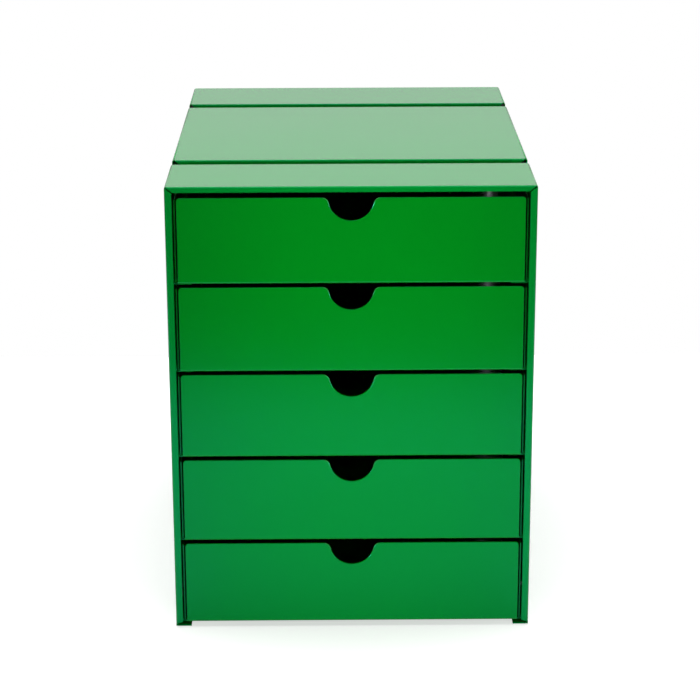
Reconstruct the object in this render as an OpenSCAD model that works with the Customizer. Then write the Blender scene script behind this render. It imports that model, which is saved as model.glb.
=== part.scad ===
// Small desk cabinet of folded sheet steel with five pull-out trays.
// Millimetres. +Z is up, the drawers face -Y, and the origin is on the
// floor under the middle of the cabinet.

/* [Cabinet shell] */
// Overall width
body_w = 275; // [250:1:330]
// Overall depth
body_d = 390; // [350:1:450]
// Thickness of every steel sheet
sheet_t = 0.8; // [0.6:0.1:1.1]
// Radius inside each fold
bend_in = 1.0; // [0.6:0.1:1.5]
// Width of the flange that frames the drawers at each side
flange_side = 5.4; // [5:0.1:8]
// Height of the flange that frames the drawers at the top
flange_top = 4.2; // [4:0.1:8]
// Length of the front and rear bands, from the face to the groove
band_l = 77.2; // [50:0.1:110]
// Width of each groove across the top and down the sides
groove_w = 12.6; // [9:0.1:20]
// Open seam where two flanges meet at a top corner
flange_seam = 1.0; // [0.4:0.1:1.4]
// Open seam where a groove turns the top corner
groove_seam = 3.0; // [1:0.1:3.5]
// Width of the return under each side
return_w = 12; // [11:0.5:18]

/* [Drawer fronts] */
// Height of a drawer front
front_h = 65.5; // [50:0.1:90]
// Gap between two drawer fronts
front_gap = 2.9; // [2.5:0.1:5]
// Gap between the top drawer front and the lowest part of the shell's top
top_gap = 3.9; // [2.5:0.1:6]
// Gap between a drawer front and the flange beside it
side_gap = 3.35; // [2.5:0.05:5]
// How far the drawer fronts stand back from the flange
front_inset = 0.4; // [0:0.1:2]
// Radius of the front's top corners
front_corner_r = 2.5; // [1:0.1:6]
// Radius of the finger notch
notch_r = 17; // [10:0.5:25]
// How far the notch's centre lies below the front's top edge
notch_sink = 0.5; // [0:0.1:3]
// Radius that blends the notch into the top edge
notch_blend_r = 5; // [2:0.5:8]

/* [Drawer trays] */
// Open slit between the front and each side wall
corner_slit = 1.25; // [0.4:0.05:1.5]
// How much lower the side and rear walls are than the front
wall_drop = 1.5; // [1:0.1:5]
// Radius of the relief hole at each corner of the floor
relief_r = 1.0; // [0.8:0.1:1.4]
// Room between the tray's rear wall and the back panel's folded edges
rear_room = 1.9; // [1:0.1:4]
// Diameter of the rubber buffers behind the tray
buffer_d = 10; // [6:0.5:14]
// Distance of each buffer from the middle
buffer_x = 80; // [40:1:100]
// Radius of each buffer's rounded end
buffer_round = 1.5; // [0.5:0.1:2.5]
// Gap between a closed drawer's buffers and the back panel
buffer_gap = 0.3; // [0.1:0.1:1]

/* [Runners] */
// Gap between a tray's side wall and the runner beside it
runner_side_gap = 1.3; // [1:0.05:2.5]
// Height of a runner's upright web
web_h = 18; // [10:0.5:30]
// How far the runners start behind the front face
runner_start = 6; // [5:0.5:15]
// Thickness of the nylon glide strips
glide_t = 0.6; // [0.4:0.1:0.9]
// Width of the glide strips
glide_w = 8; // [5:0.5:12]
// How far a strip's end lies inside its runner's end
glide_end = 6; // [3:0.5:20]
// Edge of the runner that shows inside the strip
ledge_lip = 1.6; // [1:0.1:4]
// Running gap between a strip and the tray on it
run_gap = 0.3; // [0.2:0.05:0.5]

/* [Back panel] */
// Slit between the back panel and each side flange
back_slit = 3.6; // [2:0.1:6]
// Depth of the back panel's folded edges
back_fold = 5; // [4:0.1:8]
// Height of the bottom pan's rear edge, which carries the back panel
pan_rear_h = 12; // [8:0.5:20]

/* [Feet] */
// Diameter of the rubber feet
foot_d = 11; // [8:0.5:14]
// Height of the feet
foot_h = 2.0; // [1.5:0.1:6]
// Distance from a foot's edge to the shell's outer faces
foot_inset = 0.3; // [0:0.1:3]
// Radius round a foot's lower edge
foot_round = 0.8; // [0.3:0.1:1.2]

/* [Hidden] */

paint = [0.0, 0.5, 0.2];
nylon = [0.85, 0.85, 0.82];
rubber = [0.06, 0.06, 0.06];

drawers = 5;
// Gap between pieces of the shell that lie edge to edge
fit = 0.2;
eps = 1;

// Widths, from the flange inwards to the tray and back out to the groove
front_half = body_w/2 - flange_side - side_gap;
tray_half = front_half + corner_slit + sheet_t;
web_in = tray_half + runner_side_gap;
web_out = web_in + sheet_t;
groove_d = body_w/2 - web_out - sheet_t;
back_half = body_w/2 - flange_side - back_slit;

// A fold's inner radius is limited by the groove's own depth
fold_in = min(bend_in, (groove_d - sheet_t)/2);
fold_r = fold_in + sheet_t;

// Heights, from the floor up
shell_z = foot_h;
pan_z = shell_z + sheet_t;
pitch = front_h + front_gap;
lowest_tray_z = pan_z + sheet_t + glide_t + run_gap;
body_top = lowest_tray_z + drawers*pitch - front_gap + top_gap
    + max(flange_top, groove_d + sheet_t);
function tray_z(level) = lowest_tray_z + (drawers - level)*pitch;
function glide_z(level) = tray_z(level) - run_gap - glide_t;

// Distances behind the front face
groove_near = band_l;
groove_far = band_l + groove_w;
back_inner = body_d - 2*sheet_t;
fold_start = body_d - sheet_t - back_fold;
tray_rear = fold_start - rear_room;
tray_l = tray_rear - front_inset;
runner_end = fold_start - fit;

glide_out = tray_half - fold_r - fit;
wall_h = front_h - wall_drop;

// ---- Folded sheet in section ----

// Quarter ring of folded sheet about the origin, turned from the first quadrant
module fold(turn) {
    rotate(turn) intersection() {
        difference() {
            circle(r = fold_r, $fn = 64);
            circle(r = fold_in, $fn = 64);
        }
        square(fold_r + eps);
    }
}

// Flat stretch of sheet between two opposite corners
module flat(from, to) {
    translate(from) square(to - from);
}

// Front end of a shell panel: x runs back from the face, y runs inwards
module shell_end(flange) {
    flat([0, fold_r], [sheet_t, flange]);
    translate([fold_r, fold_r]) fold(180);
    flat([fold_r, 0], [groove_near - fold_r, sheet_t]);
    translate([groove_near - fold_r, fold_r]) fold(270);
    flat([groove_near - sheet_t, fold_r], [groove_near, groove_d - fold_in]);
    translate([groove_near + fold_in, groove_d - fold_in]) fold(90);
    flat([groove_near + fold_in, groove_d], [groove_far - fold_in, groove_d + sheet_t]);
    translate([groove_far - fold_in, groove_d - fold_in]) fold(0);
    flat([groove_far, fold_r], [groove_far + sheet_t, groove_d - fold_in]);
    translate([groove_far + fold_r, fold_r]) fold(180);
}

// A whole shell panel in section: flange, band, groove, band, groove, band, flange
module shell_section(flange) {
    shell_end(flange);
    translate([body_d, 0]) mirror([1, 0, 0]) shell_end(flange);
    flat([groove_far + fold_r, 0], [body_d - groove_far - fold_r, sheet_t]);
}

// ---- Outer shell ----

// Where the flat bands start and end, behind the front face
bands = [
    [fold_r, groove_near - fold_r],
    [groove_far + fold_r, body_d - groove_far - fold_r],
    [body_d - groove_near + fold_r, body_d - fold_r]
];
// Stretches where a top corner is mitred: start, end, seam and the mitre's slope
mitres = [
    [-eps, fold_r, flange_seam, [flange_side, -flange_top]],
    [groove_near - fold_r, groove_far + fold_r, groove_seam, [groove_d, -groove_d]],
    [body_d - groove_far - fold_r, body_d - groove_near + fold_r, groove_seam,
        [groove_d, -groove_d]],
    [body_d - fold_r, body_d + eps, flange_seam, [flange_side, -flange_top]]
];
mitre_reach = 3*max(flange_side, groove_d + sheet_t);

// Extrudes a front-view outline from one distance behind the face to another
module run_back(from, to) {
    translate([0, to - body_d/2, 0]) rotate([90, 0, 0]) linear_extrude(to - from) children();
}

// Strip of the front view along the left mitre, between two distances from it.
// Positive distances lie on the top panel's side.
module mitre_strip(slope, low, high) {
    along = slope/norm(slope);
    across = [-along[1], along[0]];
    translate([-body_w/2, body_top]) polygon([
        across*low - along*mitre_reach, across*low + along*mitre_reach,
        across*high + along*mitre_reach, across*high - along*mitre_reach
    ]);
}

module left_and_right() {
    children();
    mirror([1, 0, 0]) children();
}

module top_panel() {
    difference() {
        translate([body_w/2 - fold_r, -body_d/2, body_top]) rotate([-90, 0, 90])
            linear_extrude(body_w - 2*fold_r) shell_section(flange_top);
        left_and_right() for (m = mitres)
            run_back(m[0], m[1]) mitre_strip(m[3], -mitre_reach, m[2]/2);
    }
}

module left_panel() {
    difference() {
        translate([-body_w/2, -body_d/2, shell_z]) linear_extrude(body_top - fold_r - shell_z)
            mirror([1, -1, 0]) shell_section(flange_side);
        for (m = mitres) run_back(m[0], m[1]) mitre_strip(m[3], -m[2]/2, mitre_reach);
        for (b = bands) run_back(b[0], b[1])
            flat([-body_w/2 - eps, shell_z - eps], [-body_w/2 + fold_r, shell_z + fold_r]);
    }
    // Folds over the top corner and under the side, and the return at the bottom
    for (b = bands) run_back(b[0], b[1]) {
        translate([-body_w/2 + fold_r, body_top - fold_r]) fold(90);
        translate([-body_w/2 + fold_r, shell_z + fold_r]) fold(180);
        flat([-body_w/2 + fold_r, shell_z], [-body_w/2 + return_w, shell_z + sheet_t]);
    }
}

// Rounded corner where top, side and front meet, split by the seam
module ball_corner() {
    difference() {
        intersection() {
            translate([-body_w/2 + fold_r, -body_d/2 + fold_r, body_top - fold_r]) difference() {
                sphere(r = fold_r, $fn = 64);
                sphere(r = fold_in, $fn = 64);
            }
            translate([-body_w/2 - eps, -body_d/2 - eps, body_top - fold_r])
                cube([fold_r + eps, fold_r + eps, fold_r + eps]);
        }
        run_back(-eps, fold_r + eps)
            mitre_strip(mitres[0][3], -flange_seam/2, flange_seam/2);
    }
}

module outer_shell() {
    color(paint) union() {
        top_panel();
        left_and_right() {
            left_panel();
            ball_corner();
            mirror([0, 1, 0]) ball_corner();
        }
    }
}

// ---- Back panel and bottom pan ----

module back_panel() {
    rear = body_d/2 - sheet_t;
    low = pan_z + sheet_t + fit;
    color(paint) translate([0, 0, low]) linear_extrude(body_top - fold_r - fit - low) {
        flat([-back_half + fold_r, rear - sheet_t], [back_half - fold_r, rear]);
        left_and_right() {
            translate([back_half - fold_r, rear - fold_r]) fold(0);
            flat([back_half - sheet_t, rear - back_fold], [back_half, rear - fold_r]);
        }
    }
}

// Upright web and the fold at its foot, as on the right side
module web_section() {
    flat([web_in, fold_r], [web_out, web_h]);
    translate([web_out - fold_r, fold_r]) fold(270);
}

module bottom_pan() {
    rear_half = back_half - fold_r - fit;
    floor_end = back_inner - fold_r;
    color(paint) translate([0, 0, pan_z]) {
        run_back(runner_start, floor_end) {
            flat([fold_r - web_out, 0], [web_out - fold_r, sheet_t]);
            left_and_right() web_section();
        }
        // Rear edge, folded up against the back panel
        translate([-rear_half, -body_d/2, 0]) rotate([90, 0, 90]) linear_extrude(2*rear_half) {
            translate([floor_end, fold_r]) fold(270);
            flat([back_inner - sheet_t, fold_r], [back_inner, pan_rear_h]);
        }
    }
}

// ---- Runners and glides ----

module runner(level, side) {
    ledge_in = glide_out - glide_w - ledge_lip;
    color(paint) mirror([side < 0 ? 1 : 0, 0, 0]) translate([0, 0, glide_z(level) - sheet_t])
        run_back(runner_start, runner_end) {
            web_section();
            flat([ledge_in, 0], [web_out - fold_r, sheet_t]);
        }
}

// Nylon strip with rounded ends, stuck on the ledge under a tray
module glide(level, side) {
    round_r = glide_w/2;
    front = runner_start + glide_end + round_r - body_d/2;
    rear = runner_end - glide_end - round_r - body_d/2;
    middle = glide_out - round_r;
    color(nylon) mirror([side < 0 ? 1 : 0, 0, 0]) translate([middle, 0, glide_z(level)])
        linear_extrude(glide_t) {
            for (y = [front, rear]) translate([0, y]) circle(r = round_r, $fn = 48);
            flat([-round_r, front], [round_r, rear]);
        }
}

// ---- Drawers ----

// Upright flap of a tray with rounded top corners
module flap_outline(height) {
    inner = front_half - front_corner_r;
    flat([-front_half, fold_r], [front_half, height - front_corner_r]);
    flat([-inner, height - front_corner_r], [inner, height]);
    for (x = [-inner, inner])
        translate([x, height - front_corner_r]) circle(r = front_corner_r, $fn = 48);
}

// Half-round finger notch whose mouth blends into the edge at y = 0
module notch_outline() {
    blend_x = sqrt(pow(notch_r + notch_blend_r, 2) - pow(notch_blend_r - notch_sink, 2));
    meet_y = -notch_sink - (notch_blend_r - notch_sink)*notch_r/(notch_r + notch_blend_r);
    translate([0, -notch_sink]) circle(r = notch_r, $fn = 96);
    difference() {
        flat([-blend_x, meet_y], [blend_x, eps]);
        for (x = [-blend_x, blend_x])
            translate([x, -notch_blend_r]) circle(r = notch_blend_r, $fn = 64);
    }
}

// Fold between the floor and the front flap, across the tray
module cross_fold() {
    translate([-front_half, 0, 0]) rotate([90, 0, 90]) linear_extrude(2*front_half)
        translate([fold_r, fold_r]) fold(180);
}

// Stands a front-view outline up as a sheet whose face is at a distance back
module stand_sheet(face) {
    translate([0, face + sheet_t, 0]) rotate([90, 0, 0]) linear_extrude(sheet_t) children();
}

module tray(level) {
    relief_x = front_half + corner_slit/2;
    color(paint) translate([0, front_inset - body_d/2, tray_z(level)]) difference() {
        union() {
            // Floor with the side walls folded up from it
            translate([0, tray_l - fold_r, 0]) rotate([90, 0, 0])
                linear_extrude(tray_l - 2*fold_r) {
                    flat([fold_r - tray_half, 0], [tray_half - fold_r, sheet_t]);
                    left_and_right() {
                        translate([tray_half - fold_r, fold_r]) fold(270);
                        flat([tray_half - sheet_t, fold_r], [tray_half, wall_h]);
                    }
                }
            cross_fold();
            translate([0, tray_l, 0]) mirror([0, 1, 0]) cross_fold();
            stand_sheet(0) difference() {
                flap_outline(front_h);
                translate([0, front_h]) notch_outline();
            }
            stand_sheet(tray_l - sheet_t) flap_outline(wall_h);
        }
        for (x = [-relief_x, relief_x], y = [fold_r, tray_l - fold_r])
            translate([x, y, -eps]) cylinder(r = relief_r, h = fold_r + eps, $fn = 32);
    }
}

// Pair of rubber buffers stuck on the tray's rear wall
module buffers(level) {
    length = back_inner - buffer_gap - tray_rear;
    color(rubber) left_and_right()
        translate([buffer_x, tray_rear - body_d/2, tray_z(level) + front_h/2])
            rotate([-90, 0, 0]) puck(buffer_d/2, length, buffer_round);
}

// Round pad from z = 0 up, with its top edge rounded
module puck(radius, height, edge) {
    rotate_extrude($fn = 64) {
        flat([0, 0], [radius, height - edge]);
        flat([0, height - edge], [radius - edge, height]);
        intersection() {
            translate([radius - edge, height - edge]) circle(r = edge, $fn = 32);
            flat([radius - edge, height - edge], [radius + eps, height + eps]);
        }
    }
}

// ---- Feet ----

module foot(side, end) {
    centre = foot_inset + foot_d/2;
    color(rubber) translate([side*(body_w/2 - centre), end*(body_d/2 - centre), foot_h])
        rotate([180, 0, 0]) puck(foot_d/2, foot_h, foot_round);
}

outer_shell();
back_panel();
bottom_pan();
runner(1, -1);  // runner_left_1
runner(2, -1);  // runner_left_2
runner(3, -1);  // runner_left_3
runner(4, -1);  // runner_left_4
runner(1, 1);  // runner_right_1
runner(2, 1);  // runner_right_2
runner(3, 1);  // runner_right_3
runner(4, 1);  // runner_right_4
glide(1, -1);  // glide_left_1
glide(2, -1);  // glide_left_2
glide(3, -1);  // glide_left_3
glide(4, -1);  // glide_left_4
glide(5, -1);  // glide_left_5
glide(1, 1);  // glide_right_1
glide(2, 1);  // glide_right_2
glide(3, 1);  // glide_right_3
glide(4, 1);  // glide_right_4
glide(5, 1);  // glide_right_5
foot(-1, -1);  // foot_front_left
foot(1, -1);  // foot_front_right
foot(-1, 1);  // foot_rear_left
foot(1, 1);  // foot_rear_right
tray(1);  // drawer_1_tray
tray(2);  // drawer_2_tray
tray(3);  // drawer_3_tray
tray(4);  // drawer_4_tray
tray(5);  // drawer_5_tray
buffers(1);  // drawer_1_buffers
buffers(2);  // drawer_2_buffers
buffers(3);  // drawer_3_buffers
buffers(4);  // drawer_4_buffers
buffers(5);  // drawer_5_buffers
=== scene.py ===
"""Looks of a small desk cabinet of folded sheet steel with five pull-out trays."""
import math

import bmesh
import bpy
from mathutils import Matrix, Vector


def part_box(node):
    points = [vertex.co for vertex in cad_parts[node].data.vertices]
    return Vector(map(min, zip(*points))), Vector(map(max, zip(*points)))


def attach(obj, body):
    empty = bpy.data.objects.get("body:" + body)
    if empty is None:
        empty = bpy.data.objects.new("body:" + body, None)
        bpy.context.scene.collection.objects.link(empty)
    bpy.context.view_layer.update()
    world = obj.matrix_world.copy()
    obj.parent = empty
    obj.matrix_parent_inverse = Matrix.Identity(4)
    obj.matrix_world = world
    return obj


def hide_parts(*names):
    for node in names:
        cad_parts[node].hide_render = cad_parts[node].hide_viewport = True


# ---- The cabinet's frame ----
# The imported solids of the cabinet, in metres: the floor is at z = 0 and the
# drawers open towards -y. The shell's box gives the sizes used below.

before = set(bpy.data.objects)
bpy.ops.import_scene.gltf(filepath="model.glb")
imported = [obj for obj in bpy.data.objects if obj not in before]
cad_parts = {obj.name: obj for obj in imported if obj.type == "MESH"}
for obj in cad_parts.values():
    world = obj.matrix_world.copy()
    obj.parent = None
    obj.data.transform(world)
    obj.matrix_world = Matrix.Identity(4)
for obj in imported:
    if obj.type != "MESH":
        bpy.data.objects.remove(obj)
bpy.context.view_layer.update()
shell_low, shell_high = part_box("outer_shell")
width = shell_high[0] - shell_low[0]
depth = shell_high[1] - shell_low[1]
shell_bottom = shell_low[2]
shell_top = shell_high[2]

# ---- Camera ----
# A long lens about 1.6 m in front of the drawers, a little left of the
# middle, that looks down on the cabinet's top.

image_pixels = 700
focal_pixels = 2189.8
sensor_mm = 36
camera_place = (-0.01514, -depth/2 - 1.56734, 0.72101)
camera_yaw = math.radians(0.5107)
camera_pitch = math.radians(17.5132)
camera_roll = math.radians(-0.168)

lens = bpy.data.cameras.new("long_lens")
lens.sensor_width = sensor_mm
lens.lens = focal_pixels/image_pixels*sensor_mm
camera = bpy.data.objects.new("camera", lens)
camera.matrix_world = (
    Matrix.Translation(camera_place)
    @ Matrix.Rotation(-camera_yaw, 4, "Z")
    @ Matrix.Rotation(math.pi/2 - camera_pitch, 4, "X")
    @ Matrix.Rotation(camera_roll, 4, "Z")
)
bpy.context.collection.objects.link(camera)
bpy.context.scene.camera = camera
bpy.context.scene.view_settings.view_transform = "Standard"

# ---- Studio ----
# A white table top that ends in front of the cabinet, four soft lamps, and a
# room that is white to the camera. In the paint's gloss the room is white
# behind the cabinet and dark elsewhere.


class Value:
    """A number that changes over a surface. Arithmetic on it adds Math nodes."""

    def __init__(self, finish, socket):
        self.finish = finish
        self.socket = socket

    def maths(self, operation, first, second):
        return self.finish.node("ShaderNodeMath", {"operation": operation}, {0: first, 1: second})

    def __add__(self, other):
        return self.maths("ADD", self, other)

    def __sub__(self, other):
        return self.maths("SUBTRACT", self, other)

    def __rsub__(self, other):
        return self.maths("SUBTRACT", other, self)

    def __mul__(self, other):
        return self.maths("MULTIPLY", self, other)

    __radd__ = __add__
    __rmul__ = __mul__


class Finish:
    """A surface's nodes. node() adds one and returns its output."""

    def __init__(self, name, owner=None):
        self.owner = owner or bpy.data.materials.new(name)
        self.owner.use_nodes = True
        self.tree = self.owner.node_tree
        self.tree.nodes.clear()

    def node(self, kind, settings=None, inputs=None, output=0):
        made = self.tree.nodes.new(kind)
        for name, value in (settings or {}).items():
            setattr(made, name, value)
        for name, value in (inputs or {}).items():
            if isinstance(value, Value):
                self.tree.links.new(value.socket, made.inputs[name])
            else:
                made.inputs[name].default_value = value
        return Value(self, made.outputs[output] if made.outputs else None)

    def seen(self):
        """1 for rays from the camera and for the rays of gloss and glass."""
        rays = {name: self.node("ShaderNodeLightPath", output=name)
                for name in ("Is Camera Ray", "Is Glossy Ray", "Is Transmission Ray")}
        return rays["Is Camera Ray"] + rays["Is Glossy Ray"] + rays["Is Transmission Ray"]


def ramp(value, span, before, after):
    """Goes smoothly from one level to another while the value crosses a span."""
    return value.finish.node("ShaderNodeMapRange", {"interpolation_type": "SMOOTHSTEP"}, {
        "Value": value, "From Min": span[0], "From Max": span[1],
        "To Min": before, "To Max": after})


def grey(level):
    return (level, level, level, 1)


# The room's light on the cabinet, and its levels in the paint's gloss. Each
# span is the share of a direction that points up, or back for the rear wall.
room_light = 0.1
floor_level = 0.12
front_level = 0.06
ceiling_level = 0.15
low_rear_level = 0.82
horizon_span = (-0.12, 0.06)
ceiling_span = (0.2, 0.9)
low_rear_span = (0.16, 0.25)
rear_wall_span = (0.5, 0.85)

surroundings = bpy.data.worlds.new("surroundings")
bpy.context.scene.world = surroundings
room = Finish("room", surroundings)
seen = room.seen()
direction = room.node("ShaderNodeTexCoord", output="Generated")
backward = room.node("ShaderNodeSeparateXYZ", inputs={0: direction}, output="Y")
upward = room.node("ShaderNodeSeparateXYZ", inputs={0: direction}, output="Z")
front_wall = ramp(upward, ceiling_span, front_level, ceiling_level)
rear_wall = ramp(backward, rear_wall_span, 0, 1)*ramp(upward, low_rear_span, low_rear_level, 1)
walls = rear_wall + (1 - rear_wall)*front_wall
above_floor = ramp(upward, horizon_span, 0, 1)
gloss_level = above_floor*walls + (1 - above_floor)*floor_level
glossy = room.node("ShaderNodeLightPath", output="Is Glossy Ray")
strength = (seen - glossy) + glossy*gloss_level + (1 - seen)*room_light
background = room.node("ShaderNodeBackground", inputs={"Color": grey(1), "Strength": strength})
room.node("ShaderNodeOutputWorld", inputs={"Surface": background})

table_front = -depth/2 - 0.6
table_back = 0.5
table_half = 1.3
table_top = bmesh.new()
table_top.faces.new([table_top.verts.new((x, y, 0)) for x, y in (
    (-table_half, table_front), (table_half, table_front),
    (table_half, table_back), (-table_half, table_back))])
table_mesh = bpy.data.meshes.new("table")
table_top.to_mesh(table_mesh)
table_top.free()
table = bpy.data.objects.new("table", table_mesh)
bpy.context.collection.objects.link(table)

# The table lights the cabinet as a pale grey. The camera and the gloss see a
# faint shadow on it, over a glow that is dimmer near the cabinet, a painted shade round its foot,
# and full white a little way off.
table_grey = 0.65
shadow_part = 0.75
glow_part = 0.59
painted_shade_span = (0.187, 0.35)
gloss_part = 0.68
cloth = Finish("white_table")
lit = cloth.node("ShaderNodeBsdfDiffuse", inputs={"Color": grey(table_grey)})
faint = cloth.node("ShaderNodeBsdfDiffuse", inputs={"Color": grey(shadow_part)})
spot = cloth.node("ShaderNodeTexCoord", output="Object")
away = cloth.node("ShaderNodeVectorMath", {"operation": "LENGTH"}, {0: spot}, output="Value")
# The glow is dimmer close to the cabinet: painted shade that rises to full white
glow = cloth.node("ShaderNodeEmission", inputs={
    "Color": ramp(away, painted_shade_span, glow_part, 1), "Strength": 1})
pale = cloth.node("ShaderNodeAddShader", inputs={0: faint, 1: glow})
mirrored_table = cloth.node("ShaderNodeLightPath", output="Is Glossy Ray")
shown = cloth.node("ShaderNodeMixShader", inputs={
    0: cloth.seen() - (1 - gloss_part)*mirrored_table, 1: lit, 2: pale})
cloth.node("ShaderNodeOutputMaterial", inputs={"Surface": shown})
table_mesh.materials.append(cloth.owner)


def softbox(name, place, target, size, watts, spread=180, mirrored=True):
    lamp = bpy.data.lights.new(name, "AREA")
    lamp.shape = "RECTANGLE"
    lamp.spread = math.radians(spread)
    lamp.size, lamp.size_y = size
    lamp.energy = watts
    box = bpy.data.objects.new(name, lamp)
    box.visible_glossy = mirrored
    aim = Vector(target) - Vector(place)
    box.matrix_world = Matrix.Translation(place) @ aim.to_track_quat("-Z", "Y").to_matrix().to_4x4()
    bpy.context.collection.objects.link(box)


softbox("overhead_softbox", place=(0, -0.3, 2.0), target=(0, -0.3, 0.1), size=(1.8, 1.1),
        watts=17.6)
softbox("rear_softbox", place=(0, 1.3, 1.9), target=(0, -0.5, shell_top), size=(1.6, 0.8),
        watts=5.4, spread=50, mirrored=False)
softbox("left_softbox", place=(-1.35, -1.65, 0.45), target=(0.03, -depth/2, 0.37),
        size=(0.2, 0.8), watts=0.33, spread=12)
softbox("right_softbox", place=(1.41, -1.65, 0.45), target=(0.01, -depth/2, 0.37),
        size=(0.2, 0.8), watts=0.33, spread=12)

# ---- Outer shell ----
# One sheet of steel, folded into the top, both sides, the flanges, two grooves
# and the bottom returns. Its green powder coat is satin, with a fine orange
# peel and hardly any change of colour, and rounds the sheet's cut edges.

shell_colour = (0.0, 0.27, 0.021)
tone_change = 0.03
satin = 0.19
satin_change = 0.04
peel_part = 0.8
relief_height = 0.00002

cut_round = 0.00012
cut_angle = math.radians(50)
crease_angle = math.radians(60)
flat_angle = math.radians(0.5)
merge_distance = 0.000001
curved_width = 0.0004

near = 0.00001
flange_width = 0.0054
flange_fold = 0.0018
slant_outside = 0.001
slant_inside = 0.0027
bottom_drop = 0.0015


def between(factor, first, second):
    """A colour between two others. A Mix node's colours are sockets 6, 7 and output 2."""
    return factor.finish.node("ShaderNodeMix", {"data_type": "RGBA"},
                              {0: factor, 6: (*first, 1), 7: (*second, 1)}, output=2)


def powder_coat(name, colour):
    coat = Finish(name)
    place = coat.node("ShaderNodeTexCoord", output="Object")
    cloudy = coat.node("ShaderNodeTexNoise", inputs={"Vector": place, "Scale": 22, "Detail": 3})
    peel = coat.node("ShaderNodeTexNoise", inputs={"Vector": place, "Scale": 700, "Detail": 2})
    fine = coat.node("ShaderNodeTexNoise", inputs={"Vector": place, "Scale": 3200, "Detail": 1})
    darker = tuple((1 - tone_change)*part for part in colour)
    lighter = tuple((1 + tone_change)*part for part in colour)
    relief = coat.node("ShaderNodeBump", inputs={
        "Height": peel*peel_part + fine*(1 - peel_part), "Distance": relief_height, "Strength": 1})
    paint = coat.node("ShaderNodeBsdfPrincipled", inputs={
        "Base Color": between(cloudy, darker, lighter),
        "Roughness": satin + satin_change*cloudy, "Normal": relief,
        "IOR": 1.5, "Specular Tint": (0, 1, 1, 1),
        "Coat Weight": 0.3, "Coat Roughness": 0.2, "Coat IOR": 1.2})
    coat.node("ShaderNodeOutputMaterial", inputs={"Surface": paint})
    return coat.owner


def rounded(piece, edges, radius, clamp=True, segments=2):
    """Rounds some edges and returns the new faces."""
    made = bmesh.ops.bevel(piece, geom=edges, affect="EDGES", offset=radius, offset_type="OFFSET",
                           segments=segments, profile=0.5, material=-1, clamp_overlap=clamp)
    return made["faces"]


def cut_edges(sheet):
    return [edge for edge in sheet.edges
            if len(edge.link_faces) == 2 and edge.calc_face_angle(0) > cut_angle]


def dressed_sheet(node_name, materials, shape=None):
    """The folded sheet of a node, its cut edges rounded by the coat on them."""
    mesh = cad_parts[node_name].data.copy()
    stale_normals = mesh.attributes.get("custom_normal")
    if stale_normals:
        mesh.attributes.remove(stale_normals)
    sheet = bmesh.new()
    sheet.from_mesh(mesh)
    bmesh.ops.remove_doubles(sheet, verts=sheet.verts, dist=merge_distance)
    bmesh.ops.dissolve_limit(sheet, angle_limit=flat_angle, verts=sheet.verts,
                             edges=sheet.edges, use_dissolve_boundaries=False)
    if shape:
        shape(sheet)
    rounded(sheet, cut_edges(sheet), cut_round)
    # Only the narrow faces of folds and rounded cuts are shaded as curved
    for face in sheet.faces:
        face.smooth = 2*face.calc_area() < curved_width*face.calc_perimeter()
    for edge in sheet.edges:
        edge.smooth = edge.calc_face_angle(0) < crease_angle
    mesh.materials.clear()
    for material in materials:
        mesh.materials.append(material)
    sheet.to_mesh(mesh)
    sheet.free()
    piece = bpy.data.objects.new(node_name + "_sheet", mesh)
    bpy.context.collection.objects.link(piece)
    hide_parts(node_name)
    return piece


def shape_lower_ends(sheet):
    """The flanges end on a slant, and the bottom returns lie close to the floor."""
    for vert in sheet.verts:
        in_flange = depth/2 - abs(vert.co.y) < flange_fold - near
        if in_flange and vert.co.z < shell_bottom + near:
            inwards = (width/2 - abs(vert.co.x))/flange_width
            vert.co.z += slant_outside + inwards*(slant_inside - slant_outside)
        elif not in_flange and vert.co.z < shell_bottom + flange_fold + near:
            vert.co.z -= bottom_drop


shell_green = powder_coat("shell_green_powder_coat", shell_colour)
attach(dressed_sheet("outer_shell", [shell_green], shape_lower_ends), "cabinet")

# ---- Pan and runners ----
# Folded sheets with the shell's coat, which carry the glide strips. The pan's
# upright webs and the L-shaped runners are fixed to the grooves' inner faces.

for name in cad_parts:
    if name == "bottom_pan" or name.startswith("runner"):
        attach(dressed_sheet(name, [shell_green]), "cabinet")

# ---- Back panel ----
# A folded sheet with the shell's coat, inside the rear flange. It leaves a slit
# at each side, where light comes in, and reaches further to the left.

left_reach = 0.0023


def reach_left(sheet):
    """The panel's left edge is moved out, so that the slit there is the narrower one."""
    for vert in sheet.verts:
        if vert.co.x < 0:
            vert.co.x -= left_reach


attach(dressed_sheet("back_panel", [shell_green], reach_left), "cabinet")

# ---- Drawers ----
# Each tray is one folded sheet with the same coat, from another batch than
# the shell's. At the finger notch its edge is painted paler: a painted highlight.

drawer_count = 5
drawer_colour = (0.0, 0.26, 0.004)
notch_highlight_colour = (0.045, 0.32, 0.07)
rim_round = 0.00035
highlight_band = 0.0005
notch_reach = 0.021
facing_front = -0.999


def round_front_rim(sheet):
    """The edge round the front is rounded the most, and has a painted highlight, a paler coat, at
    the finger notch.
    """
    front = min(vert.co.y for vert in sheet.verts)
    rim = [edge for edge in cut_edges(sheet)
           if all(vert.co.y < front + near for vert in edge.verts)]
    rim_faces = rounded(sheet, rim, rim_round, clamp=False)
    flat = max((face for face in sheet.faces if face.normal.y < facing_front),
               key=lambda face: face.calc_area())
    middle = flat.calc_center_median().z
    band = bmesh.ops.inset_region(sheet, faces=[flat], thickness=highlight_band,
                                  use_boundary=True, use_even_offset=True)
    # Faces of the rim and band near the notch, above the middle, get the paler coat: a painted
    # highlight
    for face in rim_faces + band["faces"]:
        centre = face.calc_center_median()
        if abs(centre.x) < notch_reach and centre.z > middle:
            face.material_index = 1


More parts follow.
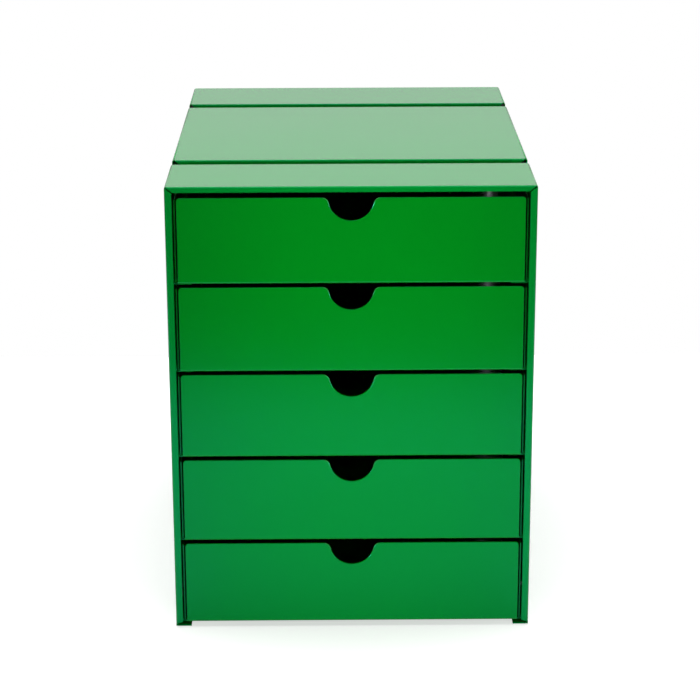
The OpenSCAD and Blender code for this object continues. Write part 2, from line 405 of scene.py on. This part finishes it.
drawer_green = powder_coat("drawer_green_powder_coat", drawer_colour)
notch_highlight_green = powder_coat("notch_highlight_powder_coat", notch_highlight_colour)
for number in range(1, drawer_count + 1):
    tray = dressed_sheet(f"drawer_{number}_tray", [drawer_green, notch_highlight_green], round_front_rim)
    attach(tray, f"drawer_{number}")

# ---- Glide strips ----
# White nylon strips on the runners and the pan, which the trays slide on:
# matt, with fine scuffs along the way the trays move.

nylon_dull = (0.62, 0.61, 0.57)
nylon_white = (0.78, 0.78, 0.74)
nylon_matt = 0.36
scuff_matt = 0.14


def finish_nodes(kind, finish):
    """Every node of a kind gets its finish."""
    for name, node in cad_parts.items():
        if kind in name:
            node.data.materials.clear()
            node.data.materials.append(finish.owner)


slippery = Finish("white_nylon")
place = slippery.node("ShaderNodeTexCoord", output="Object")
along = slippery.node("ShaderNodeMapping", inputs={"Vector": place, "Scale": (60, 1.5, 60)})
scuffs = slippery.node("ShaderNodeTexNoise", inputs={"Vector": along, "Scale": 40, "Detail": 4})
scratches = slippery.node("ShaderNodeBump", inputs={
    "Height": scuffs, "Distance": relief_height, "Strength": 1})
nylon = slippery.node("ShaderNodeBsdfPrincipled", inputs={
    "Base Color": between(scuffs, nylon_dull, nylon_white),
    "Roughness": nylon_matt + scuff_matt*scuffs, "Normal": scratches, "IOR": 1.53})
slippery.node("ShaderNodeOutputMaterial", inputs={"Surface": nylon})
finish_nodes("glide", slippery)

# ---- Feet ----
# Small square pads of black rubber, stuck under the shell's bottom returns a
# little behind its front and rear. Matt, with a fine grain and a little dust.

rubber_black = (0.008, 0.008, 0.008)
rubber_dusty = (0.022, 0.021, 0.02)
rubber_matt = 0.6
dust_matt = 0.2
foot_setback = 0.003
foot_corner = 0.0013
foot_edge = 0.0002
flat_area = 0.000003

grippy = Finish("black_rubber")
place = grippy.node("ShaderNodeTexCoord", output="Object")
dusty = grippy.node("ShaderNodeTexNoise", inputs={"Vector": place, "Scale": 300, "Detail": 4})
pores = grippy.node("ShaderNodeTexNoise", inputs={"Vector": place, "Scale": 5000, "Detail": 1})
grain = grippy.node("ShaderNodeBump", inputs={
    "Height": pores, "Distance": relief_height, "Strength": 1})
rubber = grippy.node("ShaderNodeBsdfPrincipled", inputs={
    "Base Color": between(dusty, rubber_black, rubber_dusty),
    "Roughness": rubber_matt + dust_matt*dusty, "Normal": grain, "IOR": 1.5})
grippy.node("ShaderNodeOutputMaterial", inputs={"Surface": rubber})


def square_pad(name, low, high):
    """A pad that fills a box, its upright corners and its lower edges rounded."""
    pad = bmesh.new()
    bmesh.ops.create_cube(pad, size=1)
    bmesh.ops.scale(pad, vec=high - low, verts=pad.verts)
    bmesh.ops.translate(pad, vec=(low + high)/2, verts=pad.verts)
    upright = [edge for edge in pad.edges if abs(edge.verts[0].co.z - edge.verts[1].co.z) > near]
    rounded(pad, upright, foot_corner, segments=6)
    lower = [edge for edge in pad.edges if all(vert.co.z < low.z + near for vert in edge.verts)]
    rounded(pad, lower, foot_edge, segments=3)
    for face in pad.faces:
        face.smooth = face.calc_area() < flat_area
    mesh = bpy.data.meshes.new(name)
    pad.to_mesh(mesh)
    pad.free()
    mesh.materials.append(grippy.owner)
    piece = bpy.data.objects.new(name, mesh)
    bpy.context.collection.objects.link(piece)
    return piece


for end in ("front", "rear"):
    for side in ("left", "right"):
        foot = f"foot_{end}_{side}"
        low, high = (Vector(corner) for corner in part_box(foot))
        if end == "front":
            low.y += foot_setback
        else:
            high.y -= foot_setback
        high.z -= bottom_drop
        pad = square_pad(foot + "_pad", low, high)
        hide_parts(foot)
        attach(pad, "cabinet")

# ---- Buffers ----
# Round buffers of the same rubber as the feet, fixed behind each tray in pairs.
# They stop the tray against the back panel.

finish_nodes("buffers", grippy)
